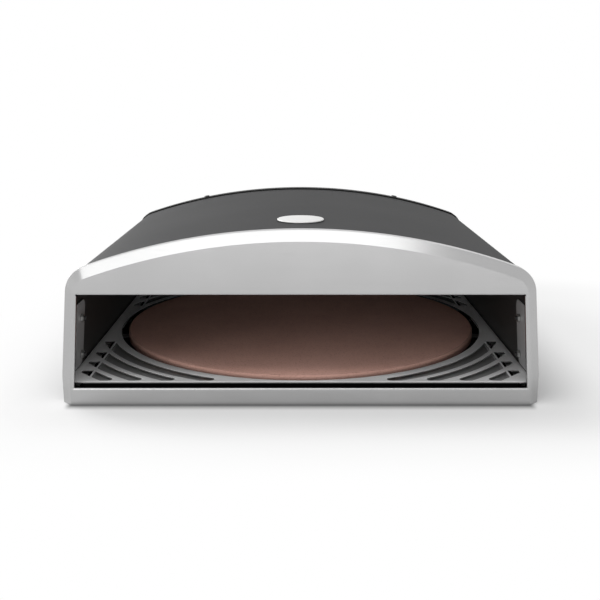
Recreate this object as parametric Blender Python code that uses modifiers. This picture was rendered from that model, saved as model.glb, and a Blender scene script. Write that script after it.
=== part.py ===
"""Grill-top pizza oven: a stainless front frame, a painted hood, a slotted
steel plate and a round baking stone that lifts out.

Units are metres. +Z is up, -Y is the front, and the origin is the middle of
the footprint on the surface that the oven stands on.
"""
import math

import bmesh
import bpy
from mathutils import Matrix, Vector

# Overall size
overall_width = 0.400
overall_depth = 0.389
body_height = 0.1468
knee_height = 0.0229
rear_run = 0.0615
arch_radius_share = 1.3225
corner_radius = 0.0235
side_lean = math.radians(5.5)

# Fits
clearance = 0.0003
cut_overrun = 0.004

# Front frame
fascia_sheet = 0.0012
chamfer = 0.0082
fascia_flange = 0.0083
mouth_bottom = 0.0151
mouth_drop = 0.0521
mouth_side_margin = 0.0116
mouth_taper = 0.0067
hem_width = 0.0020
hem_depth = 0.0026

# Hood and rear panel
hood_sheet = 0.0012
hood_front_gap = 0.0008
rear_sheet = 0.0012
rear_flange = 0.010

# Base rails
rail_sheet = 0.0012
ledge_height = 0.0108
side_ledge = 0.0086
cross_ledge = 0.012
rail_foot = 0.012
front_rail_inset = 0.0092
front_lip_inset = 0.018
gusset_sheet = 0.0015
gusset_reach = 0.040
gusset_arm = 0.0105

# Slotted plate, a sheet with its sides and rear folded down to feet
plate_sheet = 0.0010
plate_drop = 0.0065
plate_foot = 0.0076
plate_fold_start = 0.012
plate_side_gap = 0.0013
plate_front_gap = 0.0041
plate_rear_gap = 0.0013
plate_corner = 0.010
stone_gap = 0.007
pattern_depth_share = 0.96862
slot_inner_shares = (0.9898, 1.0681, 1.1480, 1.2290)
slot_width_share = 0.0510
rib_inner_share = 0.9092
rib_outer_share = 0.9214
slot_front_share = 0.9464
slot_round_share = 0.0180
tail_end_share = 0.9694
lug_width = 0.012
lug_reach = 0.013
lug_angles = (math.radians(-8.0), math.radians(-60.0), math.radians(60.0))

# Baffles under the slots
baffle_sheet = 0.0012
baffle_room = 0.0025
baffle_ring_share = 0.961
baffle_edge_share = 0.917
baffle_end_shares = (0.33, 0.915)

# Baking stone
stone_side_margin = 0.018
stone_end_margin = 0.0065
stone_thickness = 0.009
stone_rise = 0.0021
stone_edge = 0.0018
stone_round_share = 0.3

# Inner brackets that tie the front frame to the hood
bracket_sheet = 0.0015
bracket_drop = 0.0161
bracket_length = 0.060
bracket_lift = 0.0008
bracket_front = 0.0029
bracket_corner = 0.009
bracket_screw_backs = (0.047, 0.052)
bracket_screw_drop = 0.015
bracket_screw_rise = 0.0104

# Badge
badge_radius = 0.0205
badge_thickness = 0.0018
badge_crown = 0.0006
badge_rim_share = 0.8
badge_dome_shares = ((0.97, 0.0), (0.7, 0.55), (0.35, 0.9), (0.08, 1.0))
badge_from_face = 0.072
stud_radius = 0.0015
stud_spacing = 0.024
stud_length = 0.0075
stud_grip = 0.0006
push_nut_radius = 0.0045
push_nut_thickness = 0.0006

# Fasteners
screw_radius = 0.0017
screw_head_radius = 0.0032
screw_head_height = 0.0012
screw_head_round = 0.0004
screw_length = 0.0075
nut_across_flats = 0.0060
nut_height = 0.0024
bolt_radius = 0.0020
bolt_head_radius = 0.0036
bolt_head_height = 0.0024
bolt_grip = 0.0030
plate_bolt_share = 0.25
rivet_radius = 0.0016
rivet_head_radius = 0.0030
rivet_head_height = 0.0012
rivet_head_round = 0.0008
rivet_head_crown = 0.0015
skirt_screw_height = 0.0056
side_screw_shares = (-0.65, 0.0, 0.65)
rear_screw_shares = (-0.7, 0.0, 0.7)
flange_screw_shares = (0.6, 0.95)
roof_screw_share = 0.55

# Smoothness, in pieces
arch_segments = 40
corner_segments = 6
slot_segments = 9
slot_end_segments = 5
plate_corner_segments = 6
round_segments = 72
badge_segments = 48
fastener_segments = 12
hexagon = 6

# Sizes that follow from those above
half_width = overall_width / 2
face_y = -overall_depth / 2
rear_y = overall_depth / 2 - screw_head_height - clearance
arch_radius = overall_width * arch_radius_share
arch_z = body_height - arch_radius
roof_end_y = rear_y - rear_run
rear_lean = math.atan2(rear_run, body_height - knee_height)
mouth_top = body_height - mouth_drop
mouth_bottom_half = half_width - mouth_side_margin
mouth_top_half = mouth_bottom_half - mouth_taper
fascia_end_y = face_y + chamfer + fascia_flange
hood_inset = fascia_sheet + clearance
hood_inner_inset = hood_inset + hood_sheet
skirt_bottom = fascia_sheet + clearance
hood_front_y = (face_y + chamfer + fascia_sheet * math.sqrt(2) - hood_inset
                + hood_front_gap)
rail_outer = half_width - hood_inner_inset - clearance
rear_inner_y = rear_y - rear_sheet
front_rail_y = face_y + fascia_sheet + clearance
front_ledge_end = front_rail_y + cross_ledge
side_rail_y = max(front_ledge_end, fascia_end_y) + clearance
rear_rail_y = rear_inner_y - clearance
rear_ledge_end = rear_rail_y - cross_ledge
plate_bottom = ledge_height + clearance
sheet_bottom = plate_bottom + plate_drop
plate_top = sheet_bottom + plate_sheet
plate_half_width = half_width - hood_inner_inset - plate_side_gap
plate_front_y = face_y + fascia_sheet + plate_front_gap
plate_rear_y = rear_inner_y - plate_rear_gap
plate_y = (plate_front_y + plate_rear_y) / 2
plate_half_depth = (plate_rear_y - plate_front_y) / 2
stone_radius = min(plate_half_width - stone_side_margin, plate_half_depth - stone_end_margin)
opening_radius = stone_radius + stone_gap
pattern_stretch = (plate_half_width, plate_half_depth / pattern_depth_share)
stone_top = plate_top + stone_rise
stone_bottom = stone_top - stone_thickness
lug_top = stone_bottom - clearance
bracket_inset = hood_inner_inset + clearance
bracket_top = mouth_top - bracket_drop
bracket_screw_heights = (bracket_top - bracket_screw_drop, plate_top + bracket_screw_rise)
screw_hole = screw_radius + clearance
bolt_hole = bolt_radius + clearance
rivet_hole = rivet_radius + clearance


def clear_scene():
    for item in list(bpy.data.objects):
        bpy.data.objects.remove(item, do_unlink=True)


def make_collection(name):
    made = bpy.data.collections.new(name)
    bpy.context.scene.collection.children.link(made)
    return made


clear_scene()
parts = make_collection("grill_top_pizza_oven")
cutters = make_collection("cutters")
stone_axis = bpy.data.objects.new("stone_axis", None)
stone_axis.location = (0, plate_y, stone_bottom)
parts.objects.link(stone_axis)


def make_material(name, colour, roughness, metallic):
    made = bpy.data.materials.new(name)
    made.use_nodes = True
    shader = made.node_tree.nodes["Principled BSDF"]
    shader.inputs["Base Color"].default_value = (*colour, 1)
    shader.inputs["Roughness"].default_value = roughness
    shader.inputs["Metallic"].default_value = metallic
    return made


def add_part(name, mesh, colour, roughness, metallic, smooth=math.radians(30)):
    """A finished sub-part, in the object's own collection."""
    made = bpy.data.objects.new(name, mesh)
    mesh.shade_smooth()
    mesh.set_sharp_from_angle(angle=smooth)
    made.data.materials.append(make_material(name + "_finish", colour, roughness, metallic))
    parts.objects.link(made)
    return made


def add_set(name, meshes, colour, roughness, metallic):
    """Like pieces, numbered from 1, each an object of its own."""
    for number, mesh in enumerate(meshes, start=1):
        add_part(name + "_" + str(number), mesh, colour, roughness, metallic)


def add_cutter(name, mesh):
    made = bpy.data.objects.new(name, mesh)
    made.hide_render = True
    made.display_type = 'WIRE'
    cutters.objects.link(made)
    return made


def combine(target, mesh, operation, name):
    """Boolean of a part with a helper solid, which stays in the cutters."""
    change = target.modifiers.new(name, 'BOOLEAN')
    change.operation = operation
    change.object = add_cutter(target.name + "_" + name, mesh)
    return change


def applied(target):
    """The mesh of an object with its modifiers."""
    graph = bpy.context.evaluated_depsgraph_get()
    return bpy.data.meshes.new_from_object(target.evaluated_get(graph))


def solid_between(first, second, operation, name):
    """A helper solid made from two meshes by one Boolean."""
    holder = add_cutter(name, first)
    change = holder.modifiers.new("shape", 'BOOLEAN')
    change.operation = operation
    change.object = add_cutter(name + "_tool", second)
    return applied(holder)


# Placing of a flat outline: its own x, y and thickness go to these axes
across_front = Matrix(((1, 0, 0, 0), (0, 0, -1, 0), (0, 1, 0, 0), (0, 0, 0, 1)))
across_side = Matrix(((0, 0, 1, 0), (1, 0, 0, 0), (0, 1, 0, 0), (0, 0, 0, 1)))
across_top = Matrix.Identity(4)


def extruded(loops, start, end, placing, axis):
    """Closed solid of flat loops, extruded from start to end on one axis."""
    curve = bpy.data.curves.new("outline", 'CURVE')
    curve.dimensions = '2D'
    curve.fill_mode = 'BOTH'
    curve.extrude = (end - start) / 2
    for loop in loops:
        spline = curve.splines.new('POLY')
        spline.points.add(len(loop) - 1)
        for point, (x, y) in zip(spline.points, loop):
            point.co = (x, y, 0, 1)
        spline.use_cyclic_u = True
    holder = bpy.data.objects.new("outline", curve)
    cutters.objects.link(holder)
    middle = Vector((0, 0, 0))
    middle[axis] = (start + end) / 2
    bpy.context.view_layer.update()
    mesh = applied(holder)
    bpy.data.objects.remove(holder, do_unlink=True)
    bpy.data.curves.remove(curve)
    shape = bmesh.new()
    shape.from_mesh(mesh)
    bmesh.ops.remove_doubles(shape, verts=shape.verts, dist=clearance / 100)
    shape.transform(Matrix.Translation(middle) @ placing)
    bmesh.ops.recalc_face_normals(shape, faces=shape.faces)
    if shape.calc_volume(signed=True) < 0:
        bmesh.ops.reverse_faces(shape, faces=shape.faces)
    shape.to_mesh(mesh)
    shape.free()
    mesh.materials.clear()
    return mesh


def front_solid(loops, start, end):
    return extruded(loops, start, end, across_front, 1)


def side_solid(loops, start, end):
    return extruded(loops, start, end, across_side, 0)


def top_solid(loops, start, end):
    return extruded(loops, start, end, across_top, 2)


def box(low, high):
    shape = bmesh.new()
    size = [b - a for a, b in zip(low, high)]
    middle = [(a + b) / 2 for a, b in zip(low, high)]
    grow = Matrix.Translation(middle) @ Matrix.Diagonal((*size, 1))
    bmesh.ops.create_cube(shape, size=1, matrix=grow)
    return finish_mesh(shape, "box")


def finish_mesh(shape, name):
    mesh = bpy.data.meshes.new(name)
    shape.to_mesh(mesh)
    shape.free()
    return mesh


def joined(meshes, name):
    """Several closed solids as one mesh."""
    shape = bmesh.new()
    for mesh in meshes:
        shape.from_mesh(mesh)
    return finish_mesh(shape, name)


def stood_up(place, axis):
    """Matrix that stands a shape's own +Z along axis, at place."""
    turn = Vector(axis).to_track_quat('Z', 'Y').to_matrix().to_4x4()
    return Matrix.Translation(place) @ turn


def turned(profile, place, axis, segments=fastener_segments):
    """A profile of (radius, height) from foot to top, turned round an axis."""
    outline = bpy.data.meshes.new("profile")
    around = [(0, profile[-1][1])] + list(reversed(profile)) + [(0, profile[0][1])]
    points = [(radius, 0, height) for radius, height in around]
    outline.from_pydata(points, [(step, step + 1) for step in range(len(points) - 1)], [])
    holder = bpy.data.objects.new("profile", outline)
    cutters.objects.link(holder)
    screw = holder.modifiers.new("turn", 'SCREW')
    screw.steps = segments
    screw.render_steps = segments
    screw.use_merge_vertices = True
    screw.merge_threshold = clearance / 100
    mesh = applied(holder)
    bpy.data.objects.remove(holder, do_unlink=True)
    mesh.transform(stood_up(place, axis))
    return mesh


def pin(radius, place, axis, back, forward, segments=fastener_segments):
    """A plain cylinder round an axis, from back to forward of a place."""
    shape = bmesh.new()
    middle = Matrix.Translation((0, 0, (back + forward) / 2))
    bmesh.ops.create_cone(shape, cap_ends=True, segments=segments, radius1=radius, radius2=radius,
                          depth=forward - back, matrix=stood_up(place, axis) @ middle)
    return finish_mesh(shape, "pin")


def screw_solid(place, axis, length=screw_length):
    """Low pan head standing clear of the surface at place, shank inwards."""
    top = clearance + screw_head_height
    profile = [
        (screw_radius, -length),
        (screw_radius, clearance),
        (screw_head_radius, clearance),
        (screw_head_radius, top - screw_head_round),
        (screw_head_radius - screw_head_round * 2, top),
    ]
    return turned(profile, place, axis)


# The section of the body

def lean_across(half, lean, inset, height):
    """Distance from the middle of a leaning wall's inset face at a height."""
    knee = half - inset
    knee_z = knee_height + inset * (1 - math.cos(lean)) / math.sin(lean) * math.cos(lean)
    knee_z -= inset * math.sin(lean)
    return knee - max(height - knee_z, 0) * math.tan(lean)


def lean_knee(half, lean, inset):
    """The bend of a wall that stands upright below and leans in above."""
    rise = inset * (1 - math.cos(lean)) / math.sin(lean)
    return half - inset, knee_height - inset * math.sin(lean) + rise * math.cos(lean)


def corner_centre():
    """Middle of the round between the leaning side and the arched roof."""
    start = Vector((half_width - corner_radius * math.cos(side_lean),
                    knee_height - corner_radius * math.sin(side_lean)))
    along = Vector((-math.sin(side_lean), math.cos(side_lean)))
    offset = start - Vector((0, arch_z))
    reach = arch_radius - corner_radius
    middle = offset.dot(along)
    travel = -middle + math.sqrt(middle ** 2 - offset.length_squared + reach ** 2)
    return start + along * travel


def body_outline(inset, bottom):
    """Right foot, up, over the arch and down to the left foot, as (x, z)."""
    centre = corner_centre()
    roof_angle = math.atan2(centre.y - arch_z, centre.x)
    radius = corner_radius - inset
    right = [(half_width - inset, bottom), lean_knee(half_width, side_lean, inset)]
    for step in range(corner_segments + 1):
        angle = side_lean + (roof_angle - side_lean) * step / corner_segments
        right.append((centre.x + radius * math.cos(angle), centre.y + radius * math.sin(angle)))
    roof = []
    for step in range(1, arch_segments):
        angle = roof_angle + (math.pi - 2 * roof_angle) * step / arch_segments
        roof.append(((arch_radius - inset) * math.cos(angle),
                     arch_z + (arch_radius - inset) * math.sin(angle)))
    left = [(-x, z) for x, z in reversed(right)]
    return right + roof + left


def loft(sections):
    """Solid through closed outlines of equal count, given as (y, outline)."""
    shape = bmesh.new()
    rings = []
    for y, outline in sections:
        ring = [shape.verts.new((x, y, z)) for x, z in outline]
        for one, two in zip(ring, ring[1:] + ring[:1]):
            shape.edges.new((one, two))
        rings.append(ring)
    for first, second in zip(rings, rings[1:]):
        for step, one in enumerate(first):
            after = (step + 1) % len(first)
            shape.faces.new((one, first[after], second[after], second[step]))
    shape.faces.new(rings[0])
    shape.faces.new(rings[-1])
    bmesh.ops.recalc_face_normals(shape, faces=shape.faces)
    return finish_mesh(shape, "loft")


def frame_solid(side_inset, offset, front, rear_end, bottom):
    """The chamfered front body, shrunk: front is its depth behind the face."""
    slope_sum = chamfer + offset * math.sqrt(2)
    return loft([
        (rear_end, body_outline(side_inset, bottom)),
        (face_y + slope_sum - side_inset, body_outline(side_inset, bottom)),
        (face_y + front, body_outline(slope_sum - front, bottom)),
    ])


def arch_sheet(inset, thickness, bottom, start, end):
    """Arched sheet of the body's section, open below."""
    outer = body_outline(inset, bottom)
    inner = body_outline(inset + thickness, bottom)
    return front_solid([outer + inner[::-1]], start, end)


def rear_line(inset, bottom, top):
    """The rear surface, inset forward, as (y, z) from its foot to its top."""
    knee = lean_knee(rear_y, rear_lean, inset)
    tip = lean_across(rear_y, rear_lean, inset, top)
    return [(rear_y - inset, bottom), knee, (tip, top)]


def mouth_outline(grow):
    """The oven's mouth, widening downwards, grown alike on all sides."""
    low = mouth_bottom - grow
    high = mouth_top + grow
    slope = mouth_taper / (mouth_top - mouth_bottom)
    spread = grow * math.sqrt(1 + slope ** 2)
    low_half = mouth_bottom_half + spread + grow * slope
    high_half = mouth_top_half + spread - grow * slope
    return [(low_half, low), (high_half, high), (-high_half, high), (-low_half, low)]


# Fastener places on the leaning side, the roof and the rear flange

def side_place(side, y, height, inset=0.0):
    """A point on a leaning side wall, and the way that the wall faces."""
    x = lean_across(half_width, side_lean, inset, height)
    facing = Vector((side * math.cos(side_lean), 0, math.sin(side_lean)))
    return Vector((side * x, y, height)), facing


def roof_place(x, y, inset=0.0):
    radius = arch_radius - inset
    z = arch_z + math.sqrt(radius ** 2 - x ** 2)
    return Vector((x, y, z)), Vector((x, 0, z - arch_z)).normalized()


def flange_fixings():
    """Rear flange screws: two on each side and two on the roof."""
    found = []
    middle = rear_flange / 2
    for side in (-1, 1):
        for share in flange_screw_shares:
            height = corner_centre().y * share
            y = lean_across(rear_y, rear_lean, middle, height)
            found.append(side_place(side, y, height))
        x = side * half_width * roof_screw_share
        height = roof_place(x, 0)[0].z
        y = lean_across(rear_y, rear_lean, middle, height)
        found.append(roof_place(x, y))
    return found


def skirt_fixings(side):
    """Screws through one side skirt into its rail."""
    x = side * (half_width - hood_inset)
    return [(Vector((x, plate_half_depth * share, skirt_screw_height)), Vector((side, 0, 0)))
            for share in side_screw_shares]


def rear_fixings():
    return [(Vector((half_width * share, rear_y, skirt_screw_height)), Vector((0, 1, 0)))
            for share in rear_screw_shares]


def bracket_fixings(side):
    """Screws through the hood's side and the bracket inside it."""
    return [side_place(side, face_y + back, height, hood_inset)
            for back, height in zip(bracket_screw_backs, bracket_screw_heights)]


def holes(fixings, radius, depth):
    """Cylinders that clear the shanks of a list of fixings."""
    return [pin(radius, place, axis, -depth, depth) for place, axis in fixings]


def plate_bolts_at():
    ledge_middle = (rail_outer - side_ledge + plate_half_width - plate_sheet) / 2
    return [(side * ledge_middle, plate_y + end * plate_half_depth * plate_bolt_share)
            for side in (-1, 1) for end in (-1, 1)]


def gusset_outline(side, end):
    """L-shaped corner plate under two ledges, as (x, y)."""
    web = rail_outer - rail_sheet - clearance
    if end < 0:
        cross_edge, toward = front_rail_y + rail_sheet + clearance, 1
        end_x = half_width - front_rail_inset
    else:
        cross_edge, toward = rear_rail_y - rail_sheet - clearance, -1
        end_x = web
    joint = cross_edge + toward * (cross_ledge - rail_sheet)
    inner_x = rail_outer - side_ledge + clearance
    corners = [
        (inner_x - gusset_reach, cross_edge),
        (end_x, cross_edge),
        (end_x, joint),
        (web, joint),
        (web, joint + toward * gusset_reach),
        (inner_x, joint + toward * gusset_reach),
        (inner_x, cross_edge + toward * gusset_arm),
        (inner_x - gusset_reach, cross_edge + toward * gusset_arm),
    ]
    if end > 0:
        corners = [corner for place, corner in enumerate(corners) if place != 2]
    return [(side * x, y) for x, y in corners]


def gusset_rivets(side, end):
    """One rivet in the cross rail's ledge and one in the side rail's."""
    if end < 0:
        cross_edge, toward = front_rail_y + rail_sheet + clearance, 1
    else:
        cross_edge, toward = rear_rail_y - rail_sheet - clearance, -1
    inner_x = rail_outer - side_ledge + clearance
    joint = cross_edge + toward * (cross_ledge - rail_sheet)
    arm_y = cross_edge + toward * gusset_arm / 2
    side_x = (inner_x + rail_outer - rail_sheet) / 2
    return [(side * (inner_x - gusset_reach / 2), arm_y),
            (side * side_x, joint + toward * gusset_reach / 2)]


def all_rivets():
    return [place for side in (-1, 1) for end in (-1, 1) for place in gusset_rivets(side, end)]


def drilled(part, tools):
    if tools:
        combine(part, joined(tools, "holes"), 'DIFFERENCE', "holes")


# Front frame

def build_fascia():
    outer = frame_solid(0, 0, 0, fascia_end_y, 0)
    inner = frame_solid(fascia_sheet, fascia_sheet, fascia_sheet, fascia_end_y + cut_overrun, fascia_sheet)
    fascia = add_part("front_fascia", outer, (0.62, 0.62, 0.61), 0.32, 1.0)
    combine(fascia, inner, 'DIFFERENCE', "inside")
    hem = front_solid([mouth_outline(hem_width)], face_y, face_y + hem_depth)
    combine(fascia, hem, 'UNION', "hem")
    mouth = front_solid([mouth_outline(0)], face_y - cut_overrun, face_y + hem_depth + cut_overrun)
    combine(fascia, mouth, 'DIFFERENCE', "mouth")


# Hood and rear panel

def build_hood():
    sheet = arch_sheet(hood_inset, hood_sheet, skirt_bottom, hood_front_y, rear_y + cut_overrun)
    hood = add_part("hood_shell", sheet, (0.10, 0.10, 0.105), 0.42, 0.0)
    edge = rear_line(rear_sheet + clearance, -cut_overrun, body_height + cut_overrun)
    front = [(hood_front_y - cut_overrun, body_height + cut_overrun),
             (hood_front_y - cut_overrun, -cut_overrun)]
    reach = half_width + cut_overrun
    combine(hood, side_solid([edge + front], -reach, reach), 'INTERSECT', "rear_cut")
    tools = holes(flange_fixings(), screw_hole, screw_length)
    for side in (-1, 1):
        tools += holes(skirt_fixings(side) + bracket_fixings(side), screw_hole, screw_length)
    for x, y in badge_studs():
        top = Vector((x, y, body_height))
        tools.append(pin(stud_radius + clearance, top, (0, 0, 1), -stud_length, stud_length))
    drilled(hood, tools)


def build_rear_panel():
    top = body_height + cut_overrun
    reach = half_width + cut_overrun
    body = front_solid([body_outline(0, skirt_bottom)], roof_end_y - rear_flange * 2, rear_y + cut_overrun)
    band = rear_line(0, -cut_overrun, top) + rear_line(rear_flange, -cut_overrun, top)[::-1]
    cap = solid_between(body, side_solid([band], -reach, reach), 'INTERSECT', "rear_body")
    room = front_solid([body_outline(rear_sheet, skirt_bottom - cut_overrun)],
                       roof_end_y - rear_flange * 3, rear_y + cut_overrun)
    inner_band = (rear_line(rear_sheet, -cut_overrun * 2, top)
                  + rear_line(rear_flange + cut_overrun, -cut_overrun * 2, top)[::-1])
    room = solid_between(room, side_solid([inner_band], -reach, reach), 'INTERSECT', "rear_room")
    rear = add_part("rear_panel", cap, (0.09, 0.09, 0.095), 0.45, 0.0)
    combine(rear, room, 'DIFFERENCE', "inside")
    drilled(rear, holes(flange_fixings() + rear_fixings(), screw_hole, screw_length))


# Base rails

def channel_section(web, inner_ledge, inner_foot, low):
    """C section with its web at one side and both flanges inwards."""
    toward = 1 if inner_ledge > web else -1
    inner_web = web + toward * rail_sheet
    return [(web, low), (inner_foot, low), (inner_foot, low + rail_sheet), (inner_web, low + rail_sheet),
            (inner_web, ledge_height - rail_sheet), (inner_ledge, ledge_height - rail_sheet),
            (inner_ledge, ledge_height), (web, ledge_height)]


def rivet_tools():
    return [pin(rivet_hole, (x, y, ledge_height), (0, 0, 1), -screw_length, clearance * 2)
            for x, y in all_rivets()]


def build_rails():
    for side, name in ((-1, "base_rail_left"), (1, "base_rail_right")):
        section = channel_section(side * rail_outer, side * (rail_outer - side_ledge),
                                  side * (rail_outer - rail_foot), 0)
        rail = front_solid([section], side_rail_y, rear_ledge_end - clearance)
        tools = holes(skirt_fixings(side), screw_hole, screw_length)
        tools += [pin(bolt_hole, (x, y, ledge_height), (0, 0, 1), -rail_sheet * 2, clearance * 2)
                  for x, y in plate_bolts_at() if x * side > 0]
        tools += rivet_tools()
        made = add_part(name, rail, (0.30, 0.30, 0.30), 0.45, 1.0)
        drilled(made, tools)
    front_half = half_width - front_rail_inset
    section = channel_section(front_rail_y, front_ledge_end, front_rail_y + rail_foot, skirt_bottom)
    front = add_part("base_rail_front", side_solid([section], -front_half, front_half),
                     (0.30, 0.30, 0.30), 0.45, 1.0)
    lip_half = half_width - front_lip_inset
    lip = box((-lip_half, plate_front_y + clearance, ledge_height - rail_sheet / 2),
              (lip_half, plate_front_y + clearance + rail_sheet, sheet_bottom - clearance))
    combine(front, lip, 'UNION', "lip")
    drilled(front, rivet_tools())
    section = channel_section(rear_rail_y, rear_ledge_end, rear_rail_y - rail_foot, 0)
    rear = add_part("base_rail_rear", side_solid([section], -rail_outer, rail_outer),
                    (0.30, 0.30, 0.30), 0.45, 1.0)
    drilled(rear, rivet_tools() + holes(rear_fixings(), screw_hole, screw_length))


def build_gussets():
    high = ledge_height - rail_sheet - clearance
    for end, depth_name in ((-1, "front"), (1, "rear")):
        for side, name in ((-1, "left"), (1, "right")):
            flat = top_solid([gusset_outline(side, end)], high - gusset_sheet, high)
            title = "corner_gusset_" + depth_name + "_" + name
            gusset = add_part(title, flat, (0.32, 0.32, 0.32), 0.45, 1.0)
            drilled(gusset, rivet_tools())
    under = -rail_sheet - gusset_sheet - clearance * 2
    profile = [(rivet_head_crown, under - rivet_head_height),
               (rivet_head_radius, under - rivet_head_height + rivet_head_round),
               (rivet_head_radius, under), (rivet_radius, under), (rivet_radius, 0)]
    rivets = [turned(profile, (x, y, ledge_height), (0, 0, 1)) for x, y in all_rivets()]
    add_set("corner_rivet", rivets, (0.45, 0.45, 0.45), 0.4, 1.0)


# Slotted plate, its baffles and the stone

def arc(radius, start, end, count):
    """Points on a circle round the pattern's middle, as (across, forward)."""
    return [(radius * math.cos(start + (end - start) * step / count),
             radius * math.sin(start + (end - start) * step / count)) for step in range(count + 1)]


def slot_outline(inner, outer):
    """A slot from the straight rib round to the front, with a round end."""
    limit = slot_front_share
    bend = slot_round_share
    middle = Vector((math.sqrt((inner + bend) ** 2 - (limit - bend) ** 2), limit - bend))
    turn = math.atan2(middle.y, middle.x)
    inner_arc = arc(inner, math.acos(rib_inner_share / inner), turn, slot_segments)
    end = [tuple(middle + Vector(point))
           for point in arc(bend, turn + math.pi, math.pi / 2, slot_end_segments)]
    outer_arc = arc(outer, math.asin(limit / outer), math.acos(rib_inner_share / outer), slot_segments)
    return inner_arc + end[1:] + outer_arc


def tail_outline(inner, outer):
    """The four-sided end of a slot, outside the straight rib."""
    start = math.sqrt(inner ** 2 - rib_outer_share ** 2)
    tip = math.acos(tail_end_share / outer)
    foot = math.acos(rib_outer_share / outer)
    return [(rib_outer_share, start), (tail_end_share, start)] + arc(outer, tip, foot, slot_end_segments)


def on_plate(shape, side, end):
    """A shape of the pattern, whose unit is a share, placed on one corner."""
    return [(side * x * pattern_stretch[0], plate_y + end * y * pattern_stretch[1]) for x, y in shape]


def slot_tools():
    tools = []
    for inner in slot_inner_shares:
        outer = inner + slot_width_share
        for shape in (slot_outline(inner, outer), tail_outline(inner, outer)):
            for side in (-1, 1):
                for end in (-1, 1):
                    loop = on_plate(shape, side, end)
                    tools.append(top_solid([loop], sheet_bottom - plate_sheet, plate_top + plate_sheet))
    return tools


def rounded_rectangle(half_x, half_y, radius, middle=(0, 0), segments=plate_corner_segments):
    points = []
    for quarter, (sx, sy) in enumerate(((1, 1), (-1, 1), (-1, -1), (1, -1))):
        for step in range(segments + 1):
            angle = math.pi / 2 * (quarter + step / segments)
            points.append((middle[0] + sx * (half_x - radius) + radius * math.cos(angle),
                           middle[1] + sy * (half_y - radius) + radius * math.sin(angle)))
    return points


def lug_solid(angle):
    """A bent lug that reaches under the stone from the opening's edge."""
    wall = opening_radius + clearance
    tip = opening_radius - lug_reach
    low = lug_top - plate_sheet
    high = sheet_bottom + plate_sheet / 2
    section = [(tip, low), (wall + plate_sheet, low), (wall + plate_sheet, high),
               (wall, high), (wall, lug_top), (tip, lug_top)]
    mesh = front_solid([section], -lug_width / 2, lug_width / 2)
    mesh.transform(Matrix.Translation((0, plate_y, 0)) @ Matrix.Rotation(angle, 4, 'Z'))
    return mesh


def plate_pocket(inset, low, high):
    """Block of the plate's outline, inset."""
    corner = plate_corner - plate_sheet
    loop = rounded_rectangle(plate_half_width - inset, plate_half_depth - inset, corner, (0, plate_y))
    return top_solid([loop], low, high)


def build_plate():
    outline = rounded_rectangle(plate_half_width, plate_half_depth, plate_corner, (0, plate_y))
    slab = top_solid([outline], plate_bottom, plate_top)
    plate = add_part("heat_plate", slab, (0.35, 0.35, 0.35), 0.5, 0.6)
    foot_top = plate_bottom + plate_sheet
    combine(plate, plate_pocket(plate_sheet, foot_top, sheet_bottom), 'DIFFERENCE', "room")
    low = plate_bottom - cut_overrun
    combine(plate, plate_pocket(plate_foot, low, foot_top + plate_sheet), 'DIFFERENCE', "foot_room")
    front = box((-plate_half_width - cut_overrun, plate_front_y - cut_overrun, low),
                (plate_half_width + cut_overrun, plate_front_y + plate_fold_start, sheet_bottom))
    combine(plate, front, 'DIFFERENCE', "front_room")
    angles = [angle for one in lug_angles for angle in (one, math.pi - one)]
    combine(plate, joined([lug_solid(angle) for angle in angles], "lugs"), 'UNION', "lugs")
    centre = (0, plate_y, 0)
    opening = pin(opening_radius, centre, (0, 0, 1), lug_top, plate_top + cut_overrun, round_segments)
    combine(plate, opening, 'DIFFERENCE', "opening")
    combine(plate, joined(slot_tools(), "slots"), 'DIFFERENCE', "slots")
    drilled(plate, [pin(bolt_hole, (x, y, plate_bottom), (0, 0, 1), -plate_sheet, plate_sheet * 2)
                    for x, y in plate_bolts_at()])


def baffle_outline():
    """The sheet under one corner's slots, in the slots' own pattern."""
    first, last = baffle_end_shares
    ring = arc(baffle_ring_share, math.asin(last / baffle_ring_share),
               math.asin(first / baffle_ring_share), slot_segments)
    return ring + [(baffle_edge_share, first), (baffle_edge_share, last)]


def build_baffles():
    """Sheets under the slots, each hung from the plate by its folded edge."""
    high = sheet_bottom - clearance
    floor_top = sheet_bottom - baffle_room
    edge = plate_half_width * baffle_edge_share
    for end, depth_name in ((-1, "front"), (1, "rear")):
        for side, name in ((-1, "left"), (1, "right")):
            loop = on_plate(baffle_outline(), side, end)
            block = top_solid([loop], floor_top - baffle_sheet, high)
            title = "slot_baffle_" + depth_name + "_" + name
            baffle = add_part(title, block, (0.30, 0.30, 0.30), 0.5, 0.6)
            across = sorted((0, side * (edge - baffle_sheet)))
            room = box((across[0], plate_y - plate_half_depth, floor_top),
                       (across[1], plate_y + plate_half_depth, high + cut_overrun))
            combine(baffle, room, 'DIFFERENCE', "room")


def build_stone():
    edge = stone_edge
    high = stone_thickness
    profile = [(stone_radius - edge / 2, 0), (stone_radius, edge / 2), (stone_radius, high - edge),
               (stone_radius - edge * stone_round_share, high - edge * stone_round_share),
               (stone_radius - edge, high)]
    disc = turned(profile, (0, 0, 0), (0, 0, 1), round_segments)
    stone = add_part("pizza_stone", disc, (0.36, 0.22, 0.17), 0.9, 0.0)
    stone.parent = stone_axis


# Brackets, badge and fasteners

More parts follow.
